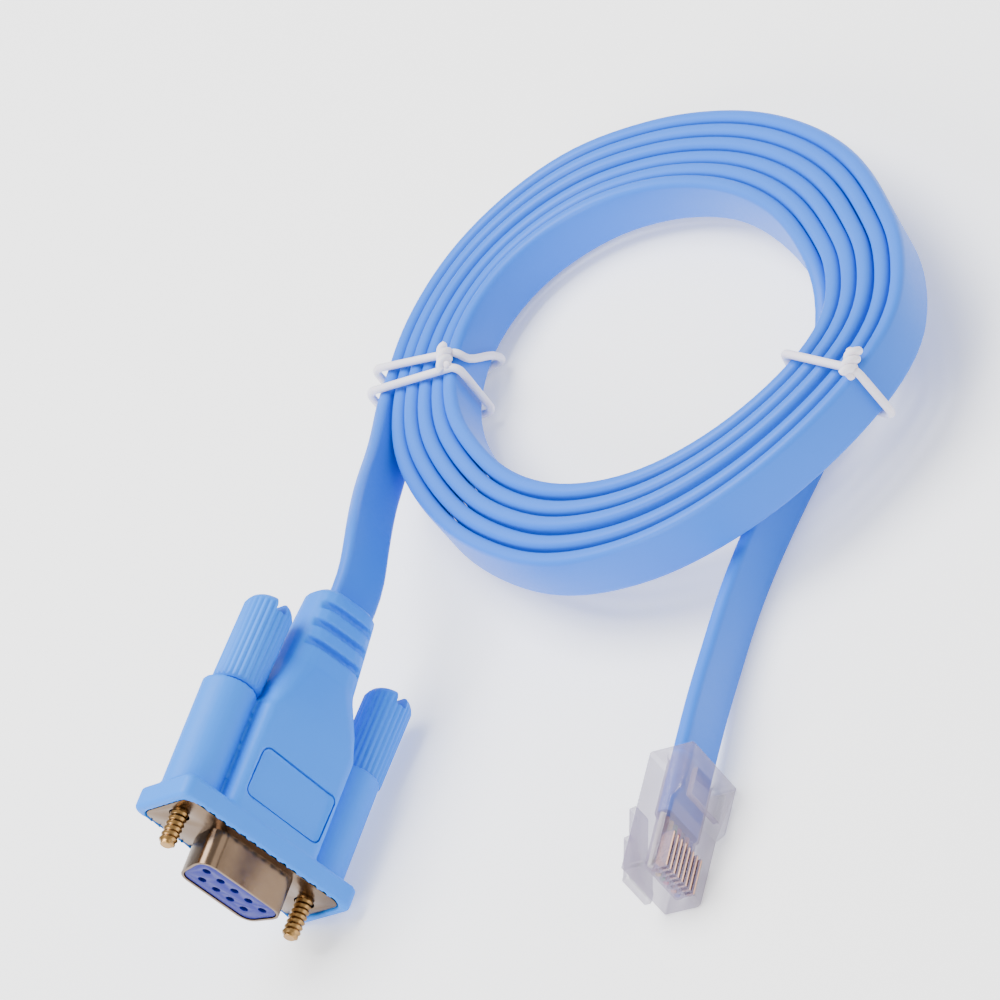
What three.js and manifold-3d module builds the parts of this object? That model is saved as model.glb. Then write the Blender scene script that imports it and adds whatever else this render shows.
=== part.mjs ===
// A console cable: a flat blue eight-wire cable wound into a tied coil, with a nine-way
// D-shaped socket connector on one end and a clear modular plug on the other.
// Millimetres, +Z up. The coil and both connectors stand on edge on the table at Z = 0.
// The origin is the middle of the clear plug's lower side, which lies on the table.
import * as THREE from "three";
import { mergeVertices } from "three/addons/utils/BufferGeometryUtils.js";
import Module from "manifold-3d";

const wasm = await Module();
wasm.setup();

const degree = Math.PI / 180;
const clearance = 0.3; // between two pieces that touch

// Flat cable
const cableWidth = 8.2;
const cableThickness = 2.5;

// Coil: centre on the table, and radius and spacing of the turns at angles chosen by hand
const coilCentre = new THREE.Vector2(45.3, 92.2);
const coilFarY = 155.6; // the far rim lies on the table here
const coilTilt = 5.2 * degree; // the near side is raised by the cable that leaves under it
const coilStartAngle = 130;
const coilEndAngle = -35;
const wholeTurns = 5;
const grooveDepth = 0.9;
const coilOutline = [
  // angle, radius of the cable's middle, spacing between turns
  [130, 51.0, 2.65],
  [114, 55.6, 2.8],
  [98, 58.9, 3.1],
  [80, 58.0, 3.4],
  [62, 51.8, 3.15],
  [42, 46.0, 2.9],
  [18, 42.6, 2.7],
  [-6, 43.1, 2.7],
  [-30, 47.3, 2.85],
  [-48, 54.6, 3.15],
  [-64, 61.2, 3.5],
  [-84, 61.6, 3.75],
  [-108, 58.9, 3.9],
  [-130, 53.2, 3.6],
  [-152, 46.8, 3.0],
  [-174, 43.9, 2.75],
  [-192, 44.2, 2.7],
  [-212, 47.3, 2.7],
];

// Nine-way connector, in its own frame: X from the mating face towards the cable,
// Y away from the label side, Z up across its width
const connectorYaw = 39 * degree;
const connectorLean = 12 * degree;
const connectorPitch = 3 * degree; // the stiff cable lifts the rear a little
const connectorPlace = new THREE.Vector2(-51.3, 49.4);
const screwSpacing = 24.99;
const plateMargin = 2.705; // metal plate beyond the screws' centres
const plateWidth = screwSpacing + 2 * plateMargin;
const flangeMargin = 1.7; // moulded rim beyond the metal plate
const flangeWidth = plateWidth + 2 * flangeMargin;
const flangeHeight = 13.2;
const flangeDepth = 4;
const flangeRadius = 1.4;
const flangeBevel = 0.5;
const rimDepth = 1.4; // how far the metal plate is let into the moulded flange
const plateHeight = 11.6;
const plateThickness = 0.8;
const plateRadius = 1.6;
const shellLength = 6;
const shellWidth = 16.9;
const shellHeight = 8.36;
const shellWall = 0.5;
const shellSlant = 10 * degree;
const shellRadius = 2.4;
const shellSpare = 0.2; // between the shell and its insulator
const screwRadius = 1.42;
const screwReach = 5.8; // beyond the metal plate
const barrelRadius = 4.3;
const barrelEnd = 22.5;
const headRadius = 3.9;
const headLength = 15.6;
const headSocketDepth = 8;
const ridgeCount = 26;
const ridgeHeight = 0.22;
const ridgeFoot = 0.28; // half of a ridge's foot and of its crest, as shares of the pitch
const ridgeCrest = 0.14;
const headRound = 1.1;
const slotWidth = 1.9;
const slotDepth = 2.4;
const bodyHalfWidth = 8.8;
const bodyHalfHeight = 6.3;
const bodyRadius = 1.5;
const bodyStep = 1.2; // length of the slope beside the thumbscrew heads
const neckStart = 31.8;
const reliefLength = 13.7;
const reliefHalfWidth = 6.5;
const reliefHalfHeight = 4.6;
const reliefTaper = 0.9;
const reliefRadius = 3.4;
const reliefRound = 0.9;
const reliefGrooves = 3;
const reliefFirstGroove = 3.3; // from the relief's end
const reliefGroovePitch = 3.35;
const reliefGrooveWidth = 1.3;
const reliefGrooveDepth = 1.7;
const labelLength = 8.4;
const labelWidth = 14.4;
const labelStart = 6.2;
const labelDepth = 0.35;
const labelRadius = 1.2;
const contactPitch = 2.77;
const rowSpacing = 2.84;
const contactHoleRadius = 0.7;
const contactCavityRadius = 1.15;
const contactOuterRadius = 0.8;
const contactInnerRadius = 0.52;
const contactLip = 0.7;
const contactLength = 4.6;
const contactBase = 1; // solid length at the wire's end
const contactSides = 10;
const insulatorFloor = 0.6; // closes the back of the contacts' cavities

// Clear modular plug, in its own frame: its rear at X = 0 and its nose towards -X,
// Y towards the latch, Z up across its width
const plugYaw = 48.6 * degree;
const plugLength = 21.46;
const plugWidth = 11.68;
const plugLatchSide = 3.6;
const plugContactSide = -3.0;
const plugRearSide = -4.4;
const plugStep = 9.2; // length of the thicker rear part
const plugBevel = 0.5;
const plugSideBevel = 0.4;
const plugMouth = 1.2; // length of the flared mouth, and its extra half width
const plugMouthFlare = 0.4;
const plugChannelHalf = 1.58;
const wireChannelHalf = 0.62;
const windowStart = 8.2; // the opening in the contact side, over the jacket's clamp
const windowEnd = 3.4;
const windowHalf = 3.6;
const windowDepth = 1.1;
const jacketReach = 10.4; // how far the cable's jacket goes into the plug
const wireRadius = 0.43;
const wirePitch = 1.016;
const wireEnd = 20.2;
const bladeThickness = 0.3;
const bladeLength = 6.0;
const bladeDepth = 1.9;
const bladeNoseGap = 0.9;
const bladeSlotSpare = 0.11;
const bladeSink = 0.15; // from the plug's face to the blade's edge
const bladeCorner = 0.6;
const wireCount = 8;
const latchWidth = 6.0;
const latchTailWidth = 3.3;
const latchShoulder = 7.6;
const latchLength = 14.4;
const latchThickness = 1.2;
const latchAngle = 13 * degree;
const latchRootX = -20.0;
const latchRootBehind = 1.1; // the root block, towards the nose and away from it
const latchRootAhead = 0.9;

// Ties
const tieWire = 1.3;
const leftTieAngles = [128.3, 134];
const rightTieAngle = -73;
const tieBend = 1.6;
const knotRadius = 1.5;
const knotLength = 6;
const knotLap = 0.1;
const leftTieSpare = [0.4, 0.9]; // slack inside and outside the bundle
const leftKnotTurns = 4.2; // which of the turns the left knot lies on
const rightKnotInset = 2; // from the coil's outer face

// Routes of the two ends of the cable, chosen by hand
const socketLeadRoute = [
  [-7.4, 87.2, 19.0],
  [-4.1, 95.8, 16.6],
  [-1.0, 104.2, 13.8],
  [2.4, 112.6, 10.7],
  [6.0, 120.4, 8.6],
];
const plugLeadRoute = [
  [71.0, 68.2, 11.2],
  [68.6, 62.6, 10.3],
  [64.8, 58.3, 8.4],
  [60.4, 54.9, 6.4],
  [55.9, 52.5, 4.6],
  [51.6, 49.7, 4.2],
  [45.4, 45.6, 4.2],
  [38.6, 40.8, 4.2],
  [32.2, 35.8, 4.2],
  [26.4, 30.6, 4.2],
  [21.2, 25.2, 4.3],
  [16.6, 19.8, 4.9],
  [12.7, 14.7, 5.6],
];

const colours = {
  cable: 0x82aff0,
  hood: 0x74b6fa,
  nickel: 0xb9a184,
  insulator: 0x4550c8,
  gold: 0xd9a441,
  clear: 0xdcd8ea,
  tie: 0xf1eef6,
};
const wireColours = [0x3f6fd0, 0xe08a2c, 0x222222, 0xc23030, 0x3f9a4a, 0xe3c63c, 0x7a4a2a, 0xd8d4c8];

function material(color, roughness, metalness, opacity = 1) {
  return new THREE.MeshStandardMaterial({ color, roughness, metalness, opacity, transparent: opacity < 1 });
}

function solidOf(geometry) {
  const plain = geometry.clone();
  for (const name of ["normal", "uv"]) {
    if (plain.getAttribute(name)) plain.deleteAttribute(name);
  }
  const merged = mergeVertices(plain, 1e-4);
  return new wasm.Manifold(
    new wasm.Mesh({
      numProp: 3,
      vertProperties: new Float32Array(merged.attributes.position.array),
      triVerts: new Uint32Array(merged.index.array),
    }),
  );
}

function geometryOf(solid) {
  const mesh = solid.getMesh();
  const geometry = new THREE.BufferGeometry();
  geometry.setAttribute("position", new THREE.BufferAttribute(new Float32Array(mesh.vertProperties), 3));
  geometry.setIndex(new THREE.BufferAttribute(new Uint32Array(mesh.triVerts), 1));
  geometry.computeVertexNormals();
  return geometry;
}

function joined(geometries) {
  return geometries.map(solidOf).reduce((a, b) => a.add(b));
}

function cut(base, tools) {
  return tools.map(solidOf).reduce((a, b) => a.subtract(b), base);
}

// A closed loft through rings of points; every ring has the same number of points.
function loft(rings) {
  const size = rings[0].length;
  const positions = rings.flat().flatMap((p) => [p.x, p.y, p.z]);
  const index = [];
  for (let r = 0; r + 1 < rings.length; r++) {
    for (let i = 0; i < size; i++) {
      const j = (i + 1) % size;
      const a = r * size;
      const b = a + size;
      index.push(a + i, a + j, b + j, a + i, b + j, b + i);
    }
  }
  const last = (rings.length - 1) * size;
  const flat = capPlane(rings[0]);
  for (const [a, b, c] of THREE.ShapeUtils.triangulateShape(flat, [])) index.push(c, b, a);
  const flatLast = capPlane(rings.at(-1));
  for (const [a, b, c] of THREE.ShapeUtils.triangulateShape(flatLast, [])) {
    index.push(last + a, last + b, last + c);
  }
  const geometry = new THREE.BufferGeometry();
  geometry.setAttribute("position", new THREE.Float32BufferAttribute(positions, 3));
  geometry.setIndex(index);
  return geometry;
}

// The ring's points in its own plane, turning anticlockwise.
function capPlane(ring) {
  const normal = new THREE.Vector3();
  ring.forEach((p, i) => normal.add(new THREE.Vector3().crossVectors(p, ring[(i + 1) % ring.length])));
  normal.normalize();
  const u = new THREE.Vector3(0, 0, 1).cross(normal);
  if (u.length() < 0.1) u.set(1, 0, 0);
  u.normalize();
  const v = new THREE.Vector3().crossVectors(normal, u);
  return ring.map((p) => new THREE.Vector2(p.dot(u), p.dot(v)));
}

// A polygon whose corners are rounded by arcs of one radius.
function roundedPolygon(corners, radius, steps = 3) {
  const points = [];
  corners.forEach((corner, i) => {
    const before = corners.at(i - 1);
    const after = corners[(i + 1) % corners.length];
    const inward = before.clone().sub(corner).normalize();
    const outward = after.clone().sub(corner).normalize();
    const half = Math.acos(THREE.MathUtils.clamp(inward.dot(outward), -1, 1)) / 2;
    const middle = inward.clone().add(outward).normalize();
    const centre = corner.clone().addScaledVector(middle, radius / Math.sin(half));
    const from = corner.clone().addScaledVector(inward, radius / Math.tan(half)).sub(centre);
    const to = corner.clone().addScaledVector(outward, radius / Math.tan(half)).sub(centre);
    const turn = Math.atan2(from.cross(to), from.dot(to));
    for (let s = 0; s <= steps; s++) {
      points.push(from.clone().rotateAround(new THREE.Vector2(), (turn * s) / steps).add(centre));
    }
  });
  return points;
}

function rectangle(width, height, radius, steps) {
  const w = width / 2;
  const h = height / 2;
  const corners = [
    new THREE.Vector2(-w, -h),
    new THREE.Vector2(w, -h),
    new THREE.Vector2(w, h),
    new THREE.Vector2(-w, h),
  ];
  return roundedPolygon(corners, radius, steps);
}

// The D outline of the connector, wide side towards -Y, with its first axis along Z.
function dOutline(width, height, radius) {
  const wide = width / 2;
  const narrow = wide - height * Math.tan(shellSlant);
  const h = height / 2;
  const corners = [
    new THREE.Vector2(-wide, -h),
    new THREE.Vector2(wide, -h),
    new THREE.Vector2(narrow, h),
    new THREE.Vector2(-narrow, h),
  ];
  return roundedPolygon(corners, radius, 4);
}

// An outline given across (Z) and up (Y), extruded along X from start to end.
function alongX(points, start, end, bevel = 0) {
  const geometry = new THREE.ExtrudeGeometry(new THREE.Shape(points), {
    depth: end - start - 2 * bevel,
    bevelEnabled: bevel > 0,
    bevelThickness: bevel,
    bevelSize: bevel,
    bevelOffset: -bevel,
    bevelSegments: 1,
  });
  return geometry.translate(0, 0, start + bevel).rotateY(Math.PI / 2);
}

function circle(radius, sides) {
  return Array.from({ length: sides }, (_, i) => {
    const a = (2 * Math.PI * i) / sides;
    return new THREE.Vector2(radius * Math.cos(a), radius * Math.sin(a));
  });
}

function rodX(radius, start, end, z, sides = 24) {
  return alongX(circle(radius, sides), start, end).translate(0, 0, z);
}

function block(x0, x1, y0, y1, z0, z1) {
  return new THREE.BoxGeometry(x1 - x0, y1 - y0, z1 - z0).translate(
    (x0 + x1) / 2,
    (y0 + y1) / 2,
    (z0 + z1) / 2,
  );
}

// Connector hood: flange, screw barrels, body and ribbed relief, moulded in one piece
const reliefEnd = neckStart + reliefLength;

function hoodSection(x, halfWidth, halfHeight, radius) {
  return rectangle(2 * halfWidth, 2 * halfHeight, radius, 4).map((p) => new THREE.Vector3(x, p.y, -p.x));
}

function hoodGeometry() {
  const beside = screwSpacing / 2 - headRadius - clearance; // clears the thumbscrew heads
  const body = loft([
    hoodSection(flangeDepth - 1, bodyHalfWidth, bodyHalfHeight, bodyRadius),
    hoodSection(barrelEnd - bodyStep, bodyHalfWidth, bodyHalfHeight, bodyRadius),
    hoodSection(barrelEnd, beside, bodyHalfHeight, bodyRadius),
    hoodSection(barrelEnd + 2 * bodyStep, beside - 0.3, bodyHalfHeight - 0.2, 2.2),
    hoodSection(neckStart - bodyStep, reliefHalfWidth + 0.2, reliefHalfHeight + 0.3, reliefRadius),
    hoodSection(neckStart, reliefHalfWidth, reliefHalfHeight, reliefRadius),
    hoodSection(reliefEnd - reliefRound, reliefHalfWidth - reliefTaper, reliefHalfHeight - reliefTaper / 2, reliefRadius),
    hoodSection(
      reliefEnd,
      reliefHalfWidth - reliefTaper - reliefRound,
      reliefHalfHeight - reliefTaper / 2 - reliefRound,
      reliefRadius - reliefRound,
    ),
  ]);
  const flange = alongX(rectangle(flangeWidth, flangeHeight, flangeRadius, 3), 0, flangeDepth, flangeBevel);
  const screws = [-screwSpacing / 2, screwSpacing / 2];
  const barrels = screws.map((z) => rodX(barrelRadius, flangeDepth - 1, barrelEnd, z, 32));
  const recess = alongX(
    rectangle(plateWidth + 2 * clearance, plateHeight + 2 * clearance, plateRadius + clearance, 3),
    -1,
    rimDepth,
  );
  const bores = screws.map((z) => rodX(screwRadius + clearance, -1, barrelEnd + 1, z, 20));
  const label = alongX(rectangle(labelWidth, labelLength, labelRadius, 3), 0, 2 * labelDepth);
  label.rotateZ(Math.PI / 2);
  label.translate(labelStart + labelLength / 2, -bodyHalfHeight - labelDepth, 0);
  const grooves = [];
  for (let i = 0; i < reliefGrooves; i++) {
    const x = reliefEnd - reliefFirstGroove - i * reliefGroovePitch;
    for (const side of [-1, 1]) {
      const outer = side * (reliefHalfHeight + 1);
      const inner = side * (reliefHalfHeight - reliefGrooveDepth);
      const low = Math.min(outer, inner);
      const high = Math.max(outer, inner);
      grooves.push(
        block(x - reliefGrooveWidth / 2, x + reliefGrooveWidth / 2, low, high, 1 - reliefHalfWidth, reliefHalfWidth - 1),
      );
    }
  }
  return geometryOf(cut(joined([body, flange, ...barrels]), [recess, ...bores, label, ...grooves]));
}

// Metal shell: mounting plate with the D-shaped tube drawn out of it
const plateFront = rimDepth - clearance - plateThickness;
const shellFront = plateFront - shellLength;

function shellGeometry() {
  const plate = alongX(rectangle(plateWidth, plateHeight, plateRadius, 3), plateFront, plateFront + plateThickness);
  const outer = alongX(dOutline(shellWidth, shellHeight, shellRadius), shellFront, plateFront + plateThickness);
  const inner = alongX(
    dOutline(shellWidth - 2 * shellWall, shellHeight - 2 * shellWall, shellRadius - shellWall),
    shellFront - 1,
    plateFront + plateThickness + 1,
  );
  const bores = [-1, 1].map((s) => rodX(screwRadius + shellSpare, plateFront - 1, rimDepth + 1, (s * screwSpacing) / 2, 20));
  return geometryOf(cut(joined([plate, outer]), [inner, ...bores]));
}

function contactPlaces() {
  const wide = [-2, -1, 0, 1, 2].map((i) => [-rowSpacing / 2, i * contactPitch]);
  const narrow = [-1.5, -0.5, 0.5, 1.5].map((i) => [rowSpacing / 2, i * contactPitch]);
  return [...wide, ...narrow];
}

const insulatorFront = shellFront + 0.15;
const insulatorBack = plateFront + plateThickness;

function insulatorGeometry() {
  const spare = shellWall + shellSpare;
  const outline = dOutline(shellWidth - 2 * spare, shellHeight - 2 * spare, shellRadius - spare);
  const holes = contactPlaces().flatMap(([y, z]) => [
    rodX(contactHoleRadius, insulatorFront - 1, insulatorFront + contactLip + clearance, z, contactSides).translate(0, y, 0),
    rodX(contactCavityRadius, insulatorFront + contactLip, insulatorBack - insulatorFloor, z, contactSides).translate(0, y, 0),
  ]);
  return geometryOf(cut(solidOf(alongX(outline, insulatorFront, insulatorBack)), holes));
}

function contactGeometry() {
  const start = insulatorFront + contactLip + clearance;
  const profile = [
    new THREE.Vector2(0, start + contactLength),
    new THREE.Vector2(0, start + contactLength - contactBase),
    new THREE.Vector2(contactInnerRadius, start + contactLength - contactBase),
    new THREE.Vector2(contactInnerRadius, start),
    new THREE.Vector2(contactOuterRadius, start),
    new THREE.Vector2(contactOuterRadius, start + contactLength),
    new THREE.Vector2(0, start + contactLength),
  ];
  return geometryOf(solidOf(new THREE.LatheGeometry(profile, contactSides).rotateZ(-Math.PI / 2)));
}

// Thumbscrew: a steel screw moulded into a ridged plastic head
const headStart = barrelEnd + clearance;
const headEnd = headStart + headLength;

function headGeometry() {
  const ridged = [];
  for (let i = 0; i < ridgeCount; i++) {
    for (const [step, r] of [
      [-ridgeFoot, headRadius - ridgeHeight],
      [-ridgeCrest, headRadius],
      [ridgeCrest, headRadius],
      [ridgeFoot, headRadius - ridgeHeight],
    ]) {
      const a = ((i + step) * 2 * Math.PI) / ridgeCount;
      ridged.push(new THREE.Vector2(r * Math.cos(a), r * Math.sin(a)));
    }
  }
  const grip = alongX(ridged, headStart, headEnd - headRound - 0.3);
  const core = headRadius - ridgeHeight - 0.05;
  const nose = loft(
    [
      [headEnd - headRound - 1, core],
      [headEnd - headRound, core],
      [headEnd - 0.25 * headRound, core - 0.4 * headRound],
      [headEnd, core - headRound],
    ].map(([x, r]) => circle(r, 28).map((p) => new THREE.Vector3(x, p.y, -p.x))),
  );
  const socket = rodX(screwRadius + clearance, headStart - 1, headStart + headSocketDepth, 0, 20);
  const slot = block(headEnd - slotDepth, headEnd + 1, -headRadius - 1, headRadius + 1, -slotWidth / 2, slotWidth / 2);
  return geometryOf(cut(joined([grip, nose]), [socket, slot]));
}

function screwGeometry() {
  const start = plateFront - screwReach;
  const sections = [
    [start, screwRadius - 0.5],
    [start + 0.5, screwRadius],
    [headStart + headSocketDepth - clearance, screwRadius],
  ];
  return loft(sections.map(([x, r]) => circle(r, 16).map((p) => new THREE.Vector3(x, p.y, -p.x))));
}

// Clear plug
function plugGeometry() {
  const b = plugBevel;
  const side = [
    [0, plugRearSide + b],
    [0, plugLatchSide - b],
    [-b, plugLatchSide],
    [-plugLength + b, plugLatchSide],
    [-plugLength, plugLatchSide - b],
    [-plugLength, plugContactSide + b],
    [-plugLength + b, plugContactSide],
    [-plugStep - 0.8, plugContactSide],
    [-plugStep, plugRearSide + 0.3],
    [-plugStep + 0.4, plugRearSide],
    [-b, plugRearSide],
  ].map(([x, y]) => new THREE.Vector2(x, y));
  const body = new THREE.ExtrudeGeometry(new THREE.Shape(side), {
    depth: plugWidth - 2 * plugSideBevel,
    bevelEnabled: true,
    bevelThickness: plugSideBevel,
    bevelSize: plugSideBevel,
    bevelOffset: -plugSideBevel,
    bevelSegments: 1,
  }).translate(0, 0, plugSideBevel - plugWidth / 2);
  const half = cableWidth / 2 + clearance;
  const mouth = loft(
    [
      [-jacketReach - clearance, half, plugChannelHalf],
      [-plugMouth, half, plugChannelHalf],
      [1, half + plugMouthFlare, plugChannelHalf + plugMouthFlare],
    ].map(([x, w, h]) => hoodSection(x, w, h, cableThickness / 2)),
  );
  const wireHalf = (wireCount / 2) * wirePitch + 0.1;
  const channel = block(-wireEnd - clearance, -jacketReach, -wireChannelHalf, wireChannelHalf, -wireHalf, wireHalf);
  const window = block(
    -windowStart,
    -windowEnd,
    plugRearSide - 1,
    plugRearSide + windowDepth,
    -windowHalf,
    windowHalf,
  );
  const tools = [mouth, channel, window];
  for (let i = 0; i < wireCount; i++) {
    const z = (i - (wireCount - 1) / 2) * wirePitch;
    const w = bladeThickness / 2 + bladeSlotSpare;
    const x0 = -plugLength + bladeNoseGap - bladeSlotSpare;
    tools.push(
      block(x0, x0 + bladeLength + 2 * bladeSlotSpare, plugContactSide - 1, -wireRadius, z - w, z + w),
    );
  }
  return geometryOf(cut(solidOf(body), tools));
}

function bladeGeometry() {
  const x0 = -plugLength + bladeNoseGap;
  const top = plugContactSide + bladeSink;
  const outline = [
    [x0, top],
    [x0 + bladeLength, top],
    [x0 + bladeLength, top + bladeDepth - bladeCorner],
    [x0 + bladeLength - bladeCorner, top + bladeDepth],
    [x0 + bladeCorner, top + bladeDepth],
    [x0, top + bladeDepth - bladeCorner],
  ].map(([x, y]) => new THREE.Vector2(x, y));
  return new THREE.ExtrudeGeometry(new THREE.Shape(outline), { depth: bladeThickness, bevelEnabled: false }).translate(
    0,
    0,
    -bladeThickness / 2,
  );
}

function latchGeometry() {
  const outline = [
    [0, -latchWidth / 2],
    [latchShoulder, -latchWidth / 2],
    [latchShoulder, -latchTailWidth / 2],
    [latchLength, -latchTailWidth / 2],
    [latchLength, latchTailWidth / 2],
    [latchShoulder, latchTailWidth / 2],
    [latchShoulder, latchWidth / 2],
    [0, latchWidth / 2],
  ].map(([x, y]) => new THREE.Vector2(x, y));
  const arm = new THREE.ExtrudeGeometry(new THREE.Shape(outline), { depth: latchThickness, bevelEnabled: false });
  // the outline lies in X and Z, and its thickness goes towards +Y
  arm.rotateX(Math.PI / 2).translate(0, latchThickness, 0);
  arm.rotateZ(latchAngle);
  const root = block(-latchRootBehind, latchRootAhead, 0, latchThickness, -latchWidth / 2, latchWidth / 2);
  return geometryOf(joined([arm, root]));
}

// Coil
const outlineAngles = coilOutline.map((row) => row[0]);

// Radius and spacing at an angle, by a smooth curve through the outline's rows.
function outlineAt(angle) {
  const top = outlineAngles[0];
  let a = angle;
  while (a > top) a -= 360;
  while (a <= top - 360) a += 360;
  const rows = coilOutline.length;
  const at = (i) => {
    const turns = Math.floor(i / rows);
    const row = coilOutline[i - turns * rows];
    return [row[0] - 360 * turns, row[1], row[2]];
  };
  let i = 0;
  while (i < rows - 1 && at(i + 1)[0] >= a) i++;
  const [p, q, r, s] = [at(i - 1), at(i), at(i + 1), at(i + 2)];
  const t = (a - q[0]) / (r[0] - q[0]);
  const value = (k) => {
    const m0 = ((r[k] - p[k]) / (r[0] - p[0])) * (r[0] - q[0]);
    const m1 = ((s[k] - q[k]) / (s[0] - q[0])) * (r[0] - q[0]);
    const t2 = t * t;
    const t3 = t2 * t;
    return (2 * t3 - 3 * t2 + 1) * q[k] + (t3 - 2 * t2 + t) * m0 + (3 * t2 - 2 * t3) * r[k] + (t3 - t2) * m1;
  };
  return { radius: value(1), spacing: value(2) };
}

// Radius of the cable's middle after some turns, measured in degrees along the winding.
function windingRadius(travelled) {
  const { radius, spacing } = outlineAt(coilStartAngle - travelled);
  return radius - (spacing * travelled) / 360;
}

// A point of the coil given by its angle, radius and height in the coil's own tilted plane.
function coilPoint(angle, radius, height) {
  const a = angle * degree;
  const x = coilCentre.x + radius * Math.cos(a);
  const y = coilCentre.y + radius * Math.sin(a) - coilFarY;
  return new THREE.Vector3(
    x,
    coilFarY + y * Math.cos(coilTilt) + height * Math.sin(coilTilt),
    height * Math.cos(coilTilt) - y * Math.sin(coilTilt),
  );
}

// The section through the turns at one angle: flat sides, and a groove between each two turns.
function coilSection(angle, strips, first) {
  const travelled = coilStartAngle - angle;
  const { spacing } = outlineAt(angle);
  const half = cableThickness / 2;
  const shoulder = half * 0.45;
  const top = [];
  for (let k = first; k < first + strips; k++) {
    const r = windingRadius(travelled + 360 * k);
    if (k === first) top.push([r + half, cableWidth - grooveDepth]);
    top.push([r + shoulder, cableWidth], [r - shoulder, cableWidth]);
    if (k === first + strips - 1) top.push([r - half, cableWidth - grooveDepth]);
    else top.push([r - spacing / 2, cableWidth - grooveDepth]);
  }
  const bottom = top.map(([r, h]) => [r, cableWidth - h]).reverse();
  return [...top, ...bottom].map(([r, h]) => coilPoint(angle, r, h));
}

function coilPiece(from, to, strips, first, steps) {
  const rings = [];
  for (let i = 0; i <= steps; i++) rings.push(coilSection(from + ((to - from) * i) / steps, strips, first));
  return loft(rings);
}

function coilGeometry() {
  const lap = 0.3;
  const upper = coilPiece(coilStartAngle, coilEndAngle, wholeTurns + 1, 0, 30);
  const lower = coilPiece(coilEndAngle + lap, coilStartAngle - 360 - lap, wholeTurns, 0, 34);
  return geometryOf(joined([upper, lower]));
}

// A route whose section keeps its width upright, turning from one upright to another.
class StandingRoute extends THREE.CatmullRomCurve3 {
  constructor(points, startUp, endUp) {
    super(points, false, "centripetal");
    this.startUp = startUp;
    this.endUp = endUp;
  }

  computeFrenetFrames(segments) {
    const frames = { tangents: [], normals: [], binormals: [] };
    for (let i = 0; i <= segments; i++) {
      const share = THREE.MathUtils.smoothstep(i / segments, 0, 1);
      const tangent = this.getTangentAt(i / segments);
      const up = this.startUp.clone().lerp(this.endUp, share);
      const normal = up.addScaledVector(tangent, -up.dot(tangent)).normalize().negate();
      frames.tangents.push(tangent);
      frames.normals.push(normal);
      frames.binormals.push(new THREE.Vector3().crossVectors(tangent, normal));
    }
    return frames;
  }
}

// The flat cable along a route: a closed tube with rounded edges, standing on edge.
function flatCable(route, steps, startUp, endUp) {
  const w = cableWidth / 2;
  const h = cableThickness / 2;
  const section = [];
  for (const side of [1, -1]) {
    for (const a of [-75, -38, 0, 38, 75]) {
      section.push(
        new THREE.Vector2(side * (w - h + h * Math.cos(a * degree)), side * h * Math.sin(a * degree)),
      );
    }
  }
  return new THREE.ExtrudeGeometry(new THREE.Shape(section), {
    steps,
    extrudePath: new StandingRoute(route, startUp, endUp),
  });
}

function tieLoop(angle, inner, outer, low, high) {
  const shape = new THREE.Shape(
    rectangle(outer - inner + 2 * tieWire, high - low + 2 * tieWire, tieBend, 3),
  );
  shape.holes.push(new THREE.Path(rectangle(outer - inner, high - low, 0.5, 3)));
  const band = new THREE.ExtrudeGeometry(shape, { depth: tieWire, bevelEnabled: false });
  band.translate((inner + outer) / 2, (low + high) / 2, -tieWire / 2);
  const a = angle * degree;
  const frame = new THREE.Matrix4().makeBasis(
    new THREE.Vector3(Math.cos(a), Math.sin(a), 0),
    new THREE.Vector3(0, 0, 1),
    new THREE.Vector3(Math.sin(a), -Math.cos(a), 0),
  );
  band.applyMatrix4(frame);
  return onCoil(band);
}

// Moves a piece modelled flat about the coil's centre into the coil's tilted place.
function onCoil(geometry) {
  return geometry
    .translate(coilCentre.x, coilCentre.y - coilFarY, 0)
    .rotateX(-coilTilt)
    .translate(0, coilFarY, 0);
}

function knot(angle, radius, height, turn) {
  const pill = new THREE.CapsuleGeometry(knotRadius, knotLength - 2 * knotRadius, 3, 10);
  pill.rotateZ(Math.PI / 2).rotateZ(turn * degree);
  const a = angle * degree;
  pill.translate(radius * Math.cos(a), radius * Math.sin(a), height);
  return onCoil(pill);
}

const group = new THREE.Group();

function add(parent, name, geometry, look, place) {
  const mesh = new THREE.Mesh(geometry, look);
  mesh.name = name;
  if (place) mesh.position.copy(place);
  parent.add(mesh);
  return mesh;
}

const looks = {
  cable: material(colours.cable, 0.45, 0),
  hood: material(colours.hood, 0.5, 0),
  nickel: material(colours.nickel, 0.25, 1),
  insulator: material(colours.insulator, 0.5, 0),
  gold: material(colours.gold, 0.3, 1),
  clear: material(colours.clear, 0.1, 0, 0.35),
  tie: material(colours.tie, 0.6, 0),
};

// The connector leans back on its flange, whose lower edge lies on the table.
const connectorHeight =
  (flangeWidth / 2 - flangeRadius) * Math.cos(connectorLean) +
  (flangeHeight / 2 - flangeRadius) * Math.sin(connectorLean) +
  flangeRadius;
const connectorTurn = new THREE.Euler(-connectorLean, -connectorPitch, connectorYaw, "ZYX");
const connector = new THREE.Group();
connector.position.set(connectorPlace.x, connectorPlace.y, connectorHeight);
connector.rotation.copy(connectorTurn);
group.add(connector);

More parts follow.
